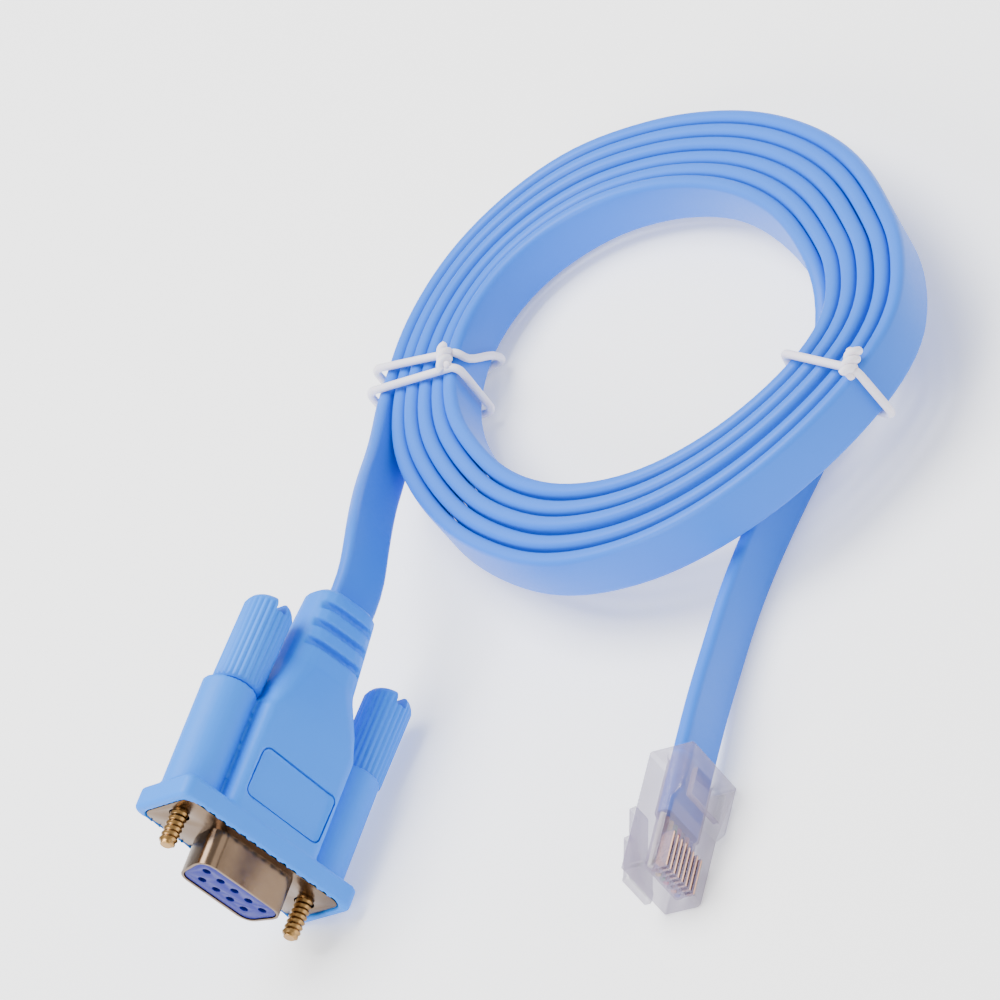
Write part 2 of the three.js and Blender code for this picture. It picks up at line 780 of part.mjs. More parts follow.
add(connector, "connector_hood", hoodGeometry(), looks.hood);
add(connector, "dsub_shell", shellGeometry(), looks.nickel);
add(connector, "dsub_insulator", insulatorGeometry(), looks.insulator);
contactPlaces().forEach(([y, z], i) => {
  add(connector, `socket_contact_${i + 1}`, contactGeometry(), looks.gold, new THREE.Vector3(0, y, z));
});
for (const [side, z] of [["upper", screwSpacing / 2], ["lower", -screwSpacing / 2]]) {
  add(connector, `thumbscrew_head_${side}`, headGeometry(), looks.hood, new THREE.Vector3(0, 0, z));
  add(connector, `jackscrew_${side}`, screwGeometry(), looks.nickel, new THREE.Vector3(0, 0, z));
}

const plug = new THREE.Group();
const plugRear = new THREE.Vector3(
  (plugLength / 2) * Math.cos(plugYaw),
  (plugLength / 2) * Math.sin(plugYaw),
  plugWidth / 2,
);
plug.position.copy(plugRear);
plug.rotation.z = plugYaw;
group.add(plug);

add(plug, "plug_body", plugGeometry(), looks.clear);
add(plug, "plug_latch", latchGeometry(), looks.clear, new THREE.Vector3(latchRootX, plugLatchSide + clearance, 0));
for (let i = 0; i < wireCount; i++) {
  const z = (i - (wireCount - 1) / 2) * wirePitch;
  const wire = alongX(circle(wireRadius, 8), -wireEnd, -jacketReach - clearance);
  add(plug, `plug_contact_${i + 1}`, bladeGeometry(), looks.gold, new THREE.Vector3(0, 0, z));
  add(plug, `conductor_${i + 1}`, wire, material(wireColours[i], 0.5, 0), new THREE.Vector3(0, 0, z));
}

// Cable: lead from the connector, coil, and lead to the plug
const connectorAxis = new THREE.Vector3(1, 0, 0).applyEuler(connectorTurn);
const socketExit = new THREE.Vector3(connectorPlace.x, connectorPlace.y, connectorHeight).addScaledVector(
  connectorAxis,
  reliefEnd + clearance,
);
const coilMiddle = cableWidth / 2;
const coilUp = new THREE.Vector3(0, Math.sin(coilTilt), Math.cos(coilTilt));
const plugUp = new THREE.Vector3(0, 0, 1);
const connectorUp = new THREE.Vector3(0, 0, 1).applyEuler(connectorTurn);
const coilStart = coilPoint(coilStartAngle + 0.35, windingRadius(0), coilMiddle);
const beforeStart = coilPoint(coilStartAngle + 5, windingRadius(0) - 0.35, coilMiddle);
const socketLead = [
  socketExit,
  socketExit.clone().addScaledVector(connectorAxis, 5),
  ...socketLeadRoute.map((p) => new THREE.Vector3(...p)),
  beforeStart,
  coilStart,
];
const lastTravel = coilStartAngle - coilEndAngle + 360 * wholeTurns;
const coilEnd = coilPoint(coilEndAngle - 1.8, windingRadius(lastTravel + 1.8), coilMiddle);
const plugAxis = new THREE.Vector3(Math.cos(plugYaw), Math.sin(plugYaw), 0);
const plugLead = [
  coilEnd,
  ...plugLeadRoute.map((p) => new THREE.Vector3(...p)),
  ...[3.5, -1, -5, -jacketReach].map((x) => plugRear.clone().addScaledVector(plugAxis, x)),
];
add(group, "cable_coil", coilGeometry(), looks.cable);
add(group, "cable_lead_socket", flatCable(socketLead, 26, connectorUp, coilUp), looks.cable);
add(group, "cable_lead_plug", flatCable(plugLead, 40, coilUp, plugUp), looks.cable);

// Ties round the bundle
function bundle(angle, strips) {
  const half = cableThickness / 2 + clearance;
  const travelled = coilStartAngle - angle;
  return [windingRadius(travelled + 360 * (strips - 1)) - half, windingRadius(travelled) + half];
}
const tieLow = -clearance;
const tieHigh = cableWidth + clearance;
const leftLoops = leftTieAngles.map((angle) => {
  const [inner, outer] = bundle(angle, wholeTurns + 1);
  return tieLoop(angle, inner - leftTieSpare[0], outer + leftTieSpare[1], tieLow, tieHigh);
});
const leftKnotRadius = windingRadius(leftKnotTurns * 360);
const leftKnot = knot(
  (leftTieAngles[0] + leftTieAngles[1]) / 2,
  leftKnotRadius,
  tieHigh + knotRadius - knotLap,
  (leftTieAngles[0] + leftTieAngles[1]) / 2 - 90,
);
add(group, "tie_left", geometryOf(joined([...leftLoops, leftKnot])), looks.tie);
const [rightInner, rightOuter] = bundle(rightTieAngle, wholeTurns);
const rightLoop = tieLoop(rightTieAngle, rightInner, rightOuter, tieLow, tieHigh);
const rightKnot = knot(rightTieAngle, rightOuter - rightKnotInset, tieHigh + knotRadius - knotLap, rightTieAngle - 60);
add(group, "tie_right", geometryOf(joined([rightLoop, rightKnot])), looks.tie);

export default group;
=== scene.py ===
import math
import random

import bpy
from mathutils import Matrix, Vector


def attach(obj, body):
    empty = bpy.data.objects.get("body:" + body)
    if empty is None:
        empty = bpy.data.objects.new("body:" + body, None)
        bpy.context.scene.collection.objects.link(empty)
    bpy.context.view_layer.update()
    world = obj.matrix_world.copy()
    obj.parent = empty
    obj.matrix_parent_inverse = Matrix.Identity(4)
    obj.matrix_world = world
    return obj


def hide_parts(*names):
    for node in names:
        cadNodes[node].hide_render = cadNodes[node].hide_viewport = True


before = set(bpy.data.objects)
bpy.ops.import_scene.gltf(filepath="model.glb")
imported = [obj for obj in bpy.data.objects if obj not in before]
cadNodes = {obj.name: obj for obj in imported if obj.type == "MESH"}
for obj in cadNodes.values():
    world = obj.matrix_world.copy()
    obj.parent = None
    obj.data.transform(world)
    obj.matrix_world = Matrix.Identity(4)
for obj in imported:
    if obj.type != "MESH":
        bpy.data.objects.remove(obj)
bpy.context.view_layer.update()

mm = 0.001

# Camera: seen from the plugs' side, 34 degrees above the table and rolled, as in the photograph
cameraView = {
    "target": (0.0125, 0.1005, 0.0),
    "distance": 1.0,
    "right": (0.7431, -0.3742, -0.5547),
    "up": (0.6691, 0.4155, 0.6161),
    "back": (0.0, -0.8290, 0.5592),
    "lens": 231.84,
    "sensor": 36.0,
}


def addCamera(view):
    bpy.ops.object.camera_add()
    camera = bpy.context.active_object
    camera.name = "photoCamera"
    camera.data.lens = view["lens"]
    camera.data.sensor_width = view["sensor"]
    camera.data.clip_start = 0.05
    camera.data.clip_end = 20
    right, up, back = (Vector(view[key]) for key in ("right", "up", "back"))
    turn = Matrix((right, up, back)).transposed().to_4x4()
    camera.matrix_world = Matrix.Translation(Vector(view["target"]) + view["distance"] * back) @ turn
    bpy.context.scene.camera = camera


addCamera(cameraView)
print("camera placed")


# Small helpers
mergeDistance = 2e-6
flatAngle = math.radians(0.6)
ringSmoothAngle = math.radians(40)


def deselectAll():
    bpy.ops.object.select_all(action="DESELECT")


def pick(piece):
    deselectAll()
    piece.select_set(True)
    bpy.context.view_layer.objects.active = piece


def applyModifiers(piece):
    pick(piece)
    for modifier in list(piece.modifiers):
        bpy.ops.object.modifier_apply(modifier=modifier.name)


def placeMesh(piece, matrix):
    piece.data.transform(matrix)
    piece.data.update()


def pieceFromRings(name, rings, closedPath=False):
    # quads between rings of points, which all have the same number of points
    size = len(rings[0])
    faces = []
    count = len(rings)
    for r in range(count if closedPath else count - 1):
        a, b = r * size, ((r + 1) % count) * size
        for i in range(size):
            j = (i + 1) % size
            faces.append((a + i, a + j, b + j, b + i))
    if not closedPath:
        faces.append(tuple(reversed(range(size))))
        faces.append(tuple((count - 1) * size + i for i in range(size)))
    mesh = bpy.data.meshes.new(name)
    mesh.from_pydata([tuple(p) for ring in rings for p in ring], [], faces)
    piece = bpy.data.objects.new(name, mesh)
    bpy.context.scene.collection.objects.link(piece)
    pick(piece)
    bpy.ops.object.mode_set(mode="EDIT")
    bpy.ops.mesh.select_all(action="SELECT")
    bpy.ops.mesh.normals_make_consistent(inside=False)
    bpy.ops.object.mode_set(mode="OBJECT")
    bpy.ops.object.shade_smooth_by_angle(angle=ringSmoothAngle)
    return piece


def mergedCopy(node, name):
    # a copy of a CAD node with its loose triangles merged and its flat faces made whole
    pick(cadNodes[node])
    bpy.ops.object.duplicate()
    piece = bpy.context.active_object
    piece.name = name
    piece.data.name = name
    for key in list(piece.keys()):
        del piece[key]
    piece.parent = None
    piece.matrix_world = Matrix.Identity(4)
    piece.data.materials.clear()
    bpy.ops.object.mode_set(mode="EDIT")
    bpy.ops.mesh.select_all(action="SELECT")
    bpy.ops.mesh.remove_doubles(threshold=mergeDistance)
    bpy.ops.mesh.dissolve_limited(angle_limit=flatAngle)
    bpy.ops.object.mode_set(mode="OBJECT")
    return piece


def softened(node, name, look):
    piece = mergedCopy(node, name)
    bevel = piece.modifiers.new("edgeRound", "BEVEL")
    bevel.width = look["edge"] * mm
    bevel.segments = look["segments"]
    bevel.limit_method = "ANGLE"
    bevel.angle_limit = math.radians(look["angle"])
    bevel.harden_normals = False
    applyModifiers(piece)
    bpy.ops.object.shade_smooth_by_angle(angle=math.radians(look["smooth"]))
    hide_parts(node)
    return piece


def addCut(piece, name, cutter):
    cut = piece.modifiers.new(name, "BOOLEAN")
    cut.operation = "DIFFERENCE"
    cut.solver = "EXACT"
    cut.object = cutter


def paint(piece, material):
    piece.data.materials.clear()
    piece.data.materials.append(material)


# Materials
def startMaterial(name):
    material = bpy.data.materials.new(name)
    material.use_nodes = True
    nodes = material.node_tree.nodes
    return material, nodes, material.node_tree.links, nodes["Principled BSDF"]


def addNoise(nodes, links, source, scale, detail=3.0, roughness=0.5):
    noise = nodes.new("ShaderNodeTexNoise")
    noise.inputs["Scale"].default_value = scale
    noise.inputs["Detail"].default_value = detail
    noise.inputs["Roughness"].default_value = roughness
    links.new(source, noise.inputs["Vector"])
    return noise.outputs["Fac"]


def addRange(nodes, links, value, low, high):
    spread = nodes.new("ShaderNodeMapRange")
    spread.inputs["To Min"].default_value = low
    spread.inputs["To Max"].default_value = high
    links.new(value, spread.inputs["Value"])
    return spread.outputs["Result"]


def addMix(nodes, links, value, first, second):
    mix = nodes.new("ShaderNodeMix")
    mix.data_type = "RGBA"
    mix.inputs["A"].default_value = (*first, 1)
    mix.inputs["B"].default_value = (*second, 1)
    links.new(value, mix.inputs["Factor"])
    return mix.outputs["Result"]


def addBump(nodes, links, height, strength, distance, shader):
    bump = nodes.new("ShaderNodeBump")
    bump.inputs["Strength"].default_value = strength
    bump.inputs["Distance"].default_value = distance
    links.new(height, bump.inputs["Height"])
    links.new(bump.outputs["Normal"], shader.inputs["Normal"])


def mouldedPlastic(name, look):
    material, nodes, links, shader = startMaterial(name)
    where = nodes.new("ShaderNodeTexCoord").outputs["Object"]
    clouds = addNoise(nodes, links, where, look["cloudScale"])
    links.new(addMix(nodes, links, clouds, look["dark"], look["light"]), shader.inputs["Base Color"])
    grain = addNoise(nodes, links, where, look["grainScale"], 2.0, 0.6)
    links.new(addRange(nodes, links, grain, *look["roughness"]), shader.inputs["Roughness"])
    addBump(nodes, links, grain, look["bump"], look["bumpDepth"] * mm, shader)
    shader.inputs["Specular IOR Level"].default_value = look["specular"]
    shader.inputs["Subsurface Weight"].default_value = look["subsurface"]
    shader.inputs["Subsurface Radius"].default_value = look["subsurfaceRadius"]
    shader.inputs["Subsurface Scale"].default_value = 1.0
    return material


def platedMetal(name, look):
    material, nodes, links, shader = startMaterial(name)
    where = nodes.new("ShaderNodeTexCoord").outputs["Object"]
    clouds = addNoise(nodes, links, where, look["cloudScale"], 4.0)
    links.new(addMix(nodes, links, clouds, look["dark"], look["light"]), shader.inputs["Base Color"])
    scuffs = addNoise(nodes, links, where, look["scuffScale"], 5.0, 0.7)
    links.new(addRange(nodes, links, scuffs, *look["roughness"]), shader.inputs["Roughness"])
    addBump(nodes, links, scuffs, look["bump"], look["bumpDepth"] * mm, shader)
    shader.inputs["Metallic"].default_value = 1.0
    return material


def clearPlastic(name, look):
    material, nodes, links, shader = startMaterial(name)
    where = nodes.new("ShaderNodeTexCoord").outputs["Object"]
    flow = addNoise(nodes, links, where, look["flowScale"], 2.0)
    links.new(addMix(nodes, links, flow, look["dark"], look["light"]), shader.inputs["Base Color"])
    addBump(nodes, links, flow, look["bump"], look["bumpDepth"] * mm, shader)
    rim = nodes.new("ShaderNodeLayerWeight")
    rim.inputs["Blend"].default_value = look["rim"]
    links.new(addRange(nodes, links, rim.outputs["Facing"], *look["cover"]), shader.inputs["Alpha"])
    shader.inputs["IOR"].default_value = look["ior"]
    shader.inputs["Roughness"].default_value = look["roughness"]
    return material


vinyl = {
    "cloudScale": 45.0, "grainScale": 1400.0, "roughness": (0.36, 0.5), "bump": 0.12, "bumpDepth": 0.05,
    "specular": 0.25, "subsurface": 0.0, "subsurfaceRadius": (0.0006, 0.0010, 0.0016),
}
cableBlue = mouldedPlastic("cableBlue", {**vinyl, "dark": (0.01, 0.15, 0.7), "light": (0.015, 0.17, 0.76)})
hoodBlue = mouldedPlastic(
    "hoodBlue",
    {**vinyl, "dark": (0.006, 0.2, 0.8), "light": (0.01, 0.22, 0.86), "roughness": (0.42, 0.58), "bump": 0.2},
)
insulatorBlue = mouldedPlastic(
    "insulatorBlue",
    {**vinyl, "dark": (0.004, 0.006, 0.18), "light": (0.006, 0.009, 0.23), "roughness": (0.35, 0.5)},
)
tieWhite = mouldedPlastic(
    "tieWhite",
    {**vinyl, "dark": (0.74, 0.7, 0.82), "light": (0.86, 0.83, 0.9), "roughness": (0.4, 0.6), "subsurface": 0.2},
)
# painted reflection: the nickel plate's brown-bronze base colour paints in a warm reflection, not the metal's own
# colour
nickelWithPaintedReflection = platedMetal(
    "nickelWithPaintedReflection",
    {"cloudScale": 90.0, "scuffScale": 900.0, "dark": (0.08, 0.05, 0.03), "light": (0.22, 0.15, 0.1),
     "roughness": (0.14, 0.3), "bump": 0.1, "bumpDepth": 0.05},
)
yellowZinc = platedMetal(
    "yellowZinc",
    {"cloudScale": 200.0, "scuffScale": 1500.0, "dark": (0.2, 0.1, 0.03), "light": (0.45, 0.27, 0.1),
     "roughness": (0.22, 0.38), "bump": 0.15, "bumpDepth": 0.04},
)
contactGold = platedMetal(
    "contactGold",
    {"cloudScale": 300.0, "scuffScale": 1500.0, "dark": (0.6, 0.3, 0.2), "light": (0.8, 0.5, 0.32),
     "roughness": (0.2, 0.35), "bump": 0.1, "bumpDepth": 0.03},
)
plugClear = clearPlastic(
    "plugClear",
    {"flowScale": 160.0, "dark": (0.16, 0.12, 0.24), "light": (0.4, 0.34, 0.5), "bump": 0.06, "bumpDepth": 0.1,
     "rim": 0.55, "cover": (0.1, 0.8), "ior": 1.55, "roughness": 0.07},
)
wireColours = {
    "wireBlue": (0.05, 0.13, 0.6), "wireOrange": (0.75, 0.22, 0.02), "wireBlack": (0.01, 0.01, 0.012),
    "wireRed": (0.55, 0.03, 0.03), "wireGreen": (0.03, 0.3, 0.06), "wireYellow": (0.8, 0.58, 0.04),
    "wireBrown": (0.2, 0.07, 0.02), "wireWhite": (0.7, 0.66, 0.55),
}
wireShade = 0.85
wireLooks = [
    mouldedPlastic(name, {**vinyl, "dark": tuple(wireShade * c for c in colour), "light": colour})
    for name, colour in wireColours.items()
]
print("materials made")

# The cable: one flat cord from the nine-way connector round the coil to the clear plug
cable = {
    "width": 8.2, "thickness": 2.5, "edgeRadius": 1.0, "edgeSteps": 5, "ringStep": 2.4,
    "coilCentre": (45.3, 92.2), "coilFarY": 155.6, "coilTilt": 5.2, "startAngle": 130.0, "endAngle": -35.0,
    "wholeTurns": 5, "angleStep": 3.0, "waver": 0.22, "lean": 0.22, "leanAngle": -15.0, "leanSpread": 65.0,
    "leanFade": 25.0, "leadSteps": 12, "smoothingPasses": 3, "reliefGap": 0.3, "reliefStraight": 5,
    "coilEntry": {"ahead": 5, "inset": 0.35, "overlap": 0.35}, "coilExit": 1.8, "plugStations": (3.5, -1, -5),
    "waverSeed": 7, "waverPhase": 6.28, "waverFade": 60, "waverPaces": (0.37, 0.83, 1.31, 2.09),
    "uvScale": (10, 0.01),
}
coilOutline = [  # angle, radius of the cable's middle, spacing between turns
    (130, 51.0, 2.65), (114, 55.6, 2.8), (98, 58.9, 3.1), (80, 58.0, 3.4), (62, 51.8, 3.15),
    (42, 46.0, 2.9), (18, 42.6, 2.7), (-6, 43.1, 2.7), (-30, 47.3, 2.85), (-48, 54.6, 3.15),
    (-64, 61.2, 3.5), (-84, 61.6, 3.75), (-108, 58.9, 3.9), (-130, 53.2, 3.6), (-152, 46.8, 3.0),
    (-174, 43.9, 2.75), (-192, 44.2, 2.7), (-212, 47.3, 2.7),
]
socketLeadRoute = [
    (-7.4, 87.2, 19.0), (-4.1, 95.8, 16.6), (-1.0, 104.2, 13.8), (2.4, 112.6, 10.7), (6.0, 120.4, 8.6),
]
plugLeadRoute = [
    (71.0, 68.2, 11.2), (68.6, 62.6, 10.3), (64.8, 58.3, 8.4), (60.4, 54.9, 6.4), (55.9, 52.5, 4.6),
    (51.6, 49.7, 4.2), (45.4, 45.6, 4.2), (38.6, 40.8, 4.2), (32.2, 35.8, 4.2), (26.4, 30.6, 4.2),
    (21.2, 25.2, 4.3), (16.6, 19.8, 4.9), (12.7, 14.7, 5.6),
]
connector = {
    "yaw": 39.0, "lean": 12.0, "tilt": 0.9,  # the solids tilt by 3 degrees: a known fault
    "place": (-51.3, 49.4), "height": 17.642, "reliefEnd": 45.5,
    "screwSpacing": 24.99, "screwRadius": 1.42, "threadStart": -5.5, "threadEnd": 3.0, "screwEnd": 30.5,
    "threadPitch": 0.9, "threadDepth": 0.3, "threadStep": 0.1, "threadTaper": 0.6, "threadTip": (0.7, 0.3),
    "threadSharpness": 0.8, "screwSides": 32,
    "headStart": 22.8, "headLength": 15.6, "headRadius": 3.9, "headEdge": 0.18, "headEdgeSegments": 3,
    "headEdgeAngle": 50, "headSmooth": 38, "ridges": 26, "sidesPerRidge": 8, "ridgeHeight": 0.22,
    "ridgeSharpness": 0.7, "slotWidth": 1.9, "slotDepth": 2.4,
}
plug = {"yaw": 48.6, "length": 21.46, "width": 11.68, "jacketReach": 10.4}


def hermite(first, leave, last, arrive, t):
    t2, t3 = t * t, t * t * t
    return (2 * t3 - 3 * t2 + 1) * first + (t3 - 2 * t2 + t) * leave + (3 * t2 - 2 * t3) * last + (t3 - t2) * arrive


def outlineAt(angle):
    # radius and spacing at an angle, by a smooth curve through the outline's rows
    rows = len(coilOutline)
    top = coilOutline[0][0]
    a = angle
    while a > top:
        a -= 360
    while a <= top - 360:
        a += 360

    def rowAt(i):
        turns = i // rows
        row = coilOutline[i - turns * rows]
        return (row[0] - 360 * turns, row[1], row[2])

    i = 0
    while i < rows - 1 and rowAt(i + 1)[0] >= a:
        i += 1
    p, q, r, s = rowAt(i - 1), rowAt(i), rowAt(i + 1), rowAt(i + 2)
    t = (a - q[0]) / (r[0] - q[0])
    values = []
    for k in (1, 2):
        m0 = (r[k] - p[k]) / (r[0] - p[0]) * (r[0] - q[0])
        m1 = (s[k] - q[k]) / (s[0] - q[0]) * (r[0] - q[0])
        values.append(hermite(q[k], m0, r[k], m1, t))
    return values


def windingRadius(travelled):
    radius, spacing = outlineAt(cable["startAngle"] - travelled)
    return radius - spacing * travelled / 360


def coilPoint(angle, radius, height):
    # a point of the coil's own tilted plane, in millimetres of the frame
    a, tilt = math.radians(angle), math.radians(cable["coilTilt"])
    x = cable["coilCentre"][0] + radius * math.cos(a)
    y = cable["coilCentre"][1] + radius * math.sin(a) - cable["coilFarY"]
    return Vector((
        x,
        cable["coilFarY"] + y * math.cos(tilt) + height * math.sin(tilt),
        height * math.cos(tilt) - y * math.sin(tilt),
    ))


def smoothCurve(points, steps):
    # a centripetal curve through the points
    ends = [2 * points[0] - points[1], *points, 2 * points[-1] - points[-2]]
    made = []
    for i in range(len(points) - 1):
        p0, p1, p2, p3 = ends[i:i + 4]
        d0, d1, d2 = (max((b - a).length, 1e-6) ** 0.5 for a, b in ((p0, p1), (p1, p2), (p2, p3)))
        m1 = ((p1 - p0) / d0 - (p2 - p0) / (d0 + d1) + (p2 - p1) / d1) * d1
        m2 = ((p2 - p1) / d1 - (p3 - p1) / (d1 + d2) + (p3 - p2) / d2) * d1
        for s in range(steps):
            made.append(hermite(p1, m1, p2, m2, s / steps))
    made.append(points[-1].copy())
    return made


def lengthsAlong(points):
    total = [0.0]
    for a, b in zip(points, points[1:]):
        total.append(total[-1] + (b - a).length)
    return total


def smoothStep(share):
    share = min(1.0, max(0.0, share))
    return share * share * (3 - 2 * share)


upright = Vector((0, 0, 1))
coilUp = Vector((0, math.sin(math.radians(cable["coilTilt"])), math.cos(math.radians(cable["coilTilt"]))))
connectorMatrix = (
    Matrix.Translation((*connector["place"], connector["height"]))
    @ Matrix.Rotation(math.radians(connector["yaw"]), 4, "Z")
    @ Matrix.Rotation(-math.radians(connector["tilt"]), 4, "Y")
    @ Matrix.Rotation(-math.radians(connector["lean"]), 4, "X")
)
connectorUp = connectorMatrix.to_3x3() @ upright
connectorAxis = connectorMatrix.to_3x3() @ Vector((1, 0, 0))
plugAxis = Vector((math.cos(math.radians(plug["yaw"])), math.sin(math.radians(plug["yaw"])), 0))
plugRear = plug["length"] / 2 * plugAxis + plug["width"] / 2 * upright


def leadPart(points, upFrom, upTo):
    made = smoothCurve(points, cable["leadSteps"])
    along = lengthsAlong(made)
    return [(p, upFrom.lerp(upTo, smoothStep(s / along[-1]))) for p, s in zip(made, along)]


def leaned(part, fade):
    # the turns lean outwards at the top on the coil's right side; the upper edges keep their place
    made, travelled = [], 0.0
    for i, (point, up) in enumerate(part):
        if i:
            travelled += (point - part[i - 1][0]).length
        radial = Vector((point.x - cable["coilCentre"][0], point.y - cable["coilCentre"][1], 0)).normalized()
        away = abs(math.degrees(math.atan2(radial.y, radial.x)) - cable["leanAngle"]) / cable["leanSpread"]
        lean = cable["lean"] * (0.5 + 0.5 * math.cos(math.pi * min(1.0, away)))
        if fade:
            lean *= 1 - smoothStep(travelled / fade)
        made.append((point - lean * cable["width"] / 2 * radial, up + lean * radial))
    return made


def cableRoute():
    middle = cable["width"] / 2
    start, turns = cable["startAngle"], cable["wholeTurns"]
    last = start - cable["endAngle"] + 360 * turns
    reliefOut = connectorMatrix @ Vector((connector["reliefEnd"] + cable["reliefGap"], 0, 0))
    entry, out = cable["coilEntry"], cable["coilExit"]
    socketLead = [
        reliefOut,
        reliefOut + cable["reliefStraight"] * connectorAxis,
        *(Vector(p) for p in socketLeadRoute),
        coilPoint(start + entry["ahead"], windingRadius(0) - entry["inset"], middle),
        coilPoint(start + entry["overlap"], windingRadius(0), middle),
    ]
    plugLead = [
        coilPoint(cable["endAngle"] - out, windingRadius(last + out), middle),
        *(Vector(p) for p in plugLeadRoute),
        *(plugRear + x * plugAxis for x in (*cable["plugStations"], -plug["jacketReach"])),
    ]
    waver = random.Random(cable["waverSeed"])
    phases = [waver.uniform(0, cable["waverPhase"]) for _ in cable["waverPaces"]]
    coil = []
    count = int((last - 1) / cable["angleStep"])
    for i in range(1, count + 1):
        travelled = last * i / (count + 1)
        edge = min(1.0, travelled / cable["waverFade"], (last - travelled) / cable["waverFade"])
        wave = sum(math.sin(math.radians(travelled) * k + p) for k, p in zip(cable["waverPaces"], phases))
        height = middle + cable["waver"] * edge * wave / 2
        coil.append((coilPoint(start - travelled, windingRadius(travelled), height), coilUp))
    return (
        leadPart(socketLead, connectorUp, coilUp)
        + leaned(coil, None)
        + leaned(leadPart(plugLead, coilUp, upright), cable["leanFade"])
    )


def evenly(route, step):
    # the same route with points an even distance apart
    along = lengthsAlong([p for p, _ in route])
    count = round(along[-1] / step)
    made, k = [], 0
    for i in range(count + 1):
        s = along[-1] * i / count
        while k < len(along) - 2 and along[k + 1] < s:
            k += 1
        t = (s - along[k]) / max(1e-9, along[k + 1] - along[k])
        made.append((route[k][0].lerp(route[k + 1][0], t), route[k][1].lerp(route[k + 1][1], t)))
    for _ in range(cable["smoothingPasses"]):
        points = [p for p, _ in made]
        for i in range(1, len(made) - 1):
            made[i] = (0.25 * points[i - 1] + 0.5 * points[i] + 0.25 * points[i + 1], made[i][1])
    return made


def bandSection(width, thickness, radius, steps):
    # a flat section with rounded corners, across and thick
    section = []
    for cornerX, cornerY, first in ((1, 1, 0), (-1, 1, 90), (-1, -1, 180), (1, -1, 270)):
        for i in range(steps):
            a = math.radians(first + 90 * i / (steps - 1))
            section.append((
                cornerX * (width / 2 - radius) + radius * math.cos(a),
                cornerY * (thickness / 2 - radius) + radius * math.sin(a),
            ))
    return section


def makeCable():
    route = evenly(cableRoute(), cable["ringStep"])
    section = bandSection(cable["width"], cable["thickness"], cable["edgeRadius"], cable["edgeSteps"])
    rings = []
    for i, (point, up) in enumerate(route):
        before, after = route[max(0, i - 1)][0], route[min(len(route) - 1, i + 1)][0]
        tangent = (after - before).normalized()
        across = (up - up.dot(tangent) * tangent).normalized()
        outward = tangent.cross(across)
        rings.append([(point + a * across + b * outward) * mm for a, b in section])
    piece = pieceFromRings("flatCable", rings)
    path = [p * mm for p, _ in route]
    along = lengthsAlong(path)
    around = [0.0]
    for a, b in zip(section, section[1:] + section[:1]):
        around.append(around[-1] + math.dist(a, b))
    uvs = piece.data.uv_layers.new(name="alongCable")
    size = len(section)
    alongScale, aroundScale = cable["uvScale"]
    for face in piece.data.polygons:
        corners = [piece.data.loops[i].vertex_index for i in face.loop_indices]
        wraps = len(corners) == 4 and {0, size - 1} <= {c % size for c in corners}
        for loopIndex, corner in zip(face.loop_indices, corners):
            ring, k = divmod(corner, size)
            turned = around[size if wraps and k == 0 else k]
            uvs.data[loopIndex].uv = (along[ring] * alongScale, turned * aroundScale)
    return piece, path, along[-1]


flatCable, cablePath, cableLength = makeCable()
paint(flatCable, cableBlue)
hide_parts("cable_coil", "cable_lead_socket", "cable_lead_plug")
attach(flatCable, "cable")
print("cable made, length", round(cableLength, 3), "m")

# Nine-way connector
hoodLook = {
    "voxel": 0.26, "smoothing": 3,
    "smoothFactor": 0.5, "smoothAngle": 50,
    "label": {
        "start": 6.2, "length": 8.4, "width": 14.4, "radius": 1.2, "face": -6.3, "line": 0.32, "depth": 0.6,
        "cornerSteps": 6,
    },
}


def cutLabelLine(piece, label):
    # the fine line round the bare label panel
    radius, steps = label["radius"], label["cornerSteps"]
    across, along = label["width"] / 2 - radius, label["length"] / 2 - radius
    middle = label["start"] + label["length"] / 2
    rings = []
    for cornerZ, cornerX, first in ((1, 1, 0), (-1, 1, 90), (-1, -1, 180), (1, -1, 270)):
        for i in range(steps + 1):
            a = math.radians(first + 90 * i / steps)
            ring = []
            for out, deep in ((-0.5, -1), (0.5, -1), (0.5, 1), (-0.5, 1)):
                r = radius + out * label["line"]
                ring.append(Vector((
                    middle + cornerX * along + r * math.sin(a),
                    label["face"] + deep * label["depth"],
                    cornerZ * across + r * math.cos(a),
                )))
            rings.append(ring)
    cutter = pieceFromRings("labelCutter", rings, closedPath=True)
    placeMesh(cutter, Matrix.Scale(mm, 4) @ connectorMatrix)
    addCut(piece, "labelLine", cutter)
    applyModifiers(piece)
    bpy.data.objects.remove(cutter)


def makeHood(look):
    # the CAD form with the small fillets of a soft vinyl moulding
    piece = mergedCopy("connector_hood", "mouldedHood")
    remesh = piece.modifiers.new("even", "REMESH")
    remesh.mode = "VOXEL"
    remesh.voxel_size = look["voxel"] * mm
    soften = piece.modifiers.new("fillet", "SMOOTH")
    soften.factor = look["smoothFactor"]
    soften.iterations = look["smoothing"]
    applyModifiers(piece)
    cutLabelLine(piece, look["label"])
    pick(piece)
    bpy.ops.object.shade_smooth_by_angle(angle=math.radians(look["smoothAngle"]))
    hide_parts("connector_hood")
    return piece


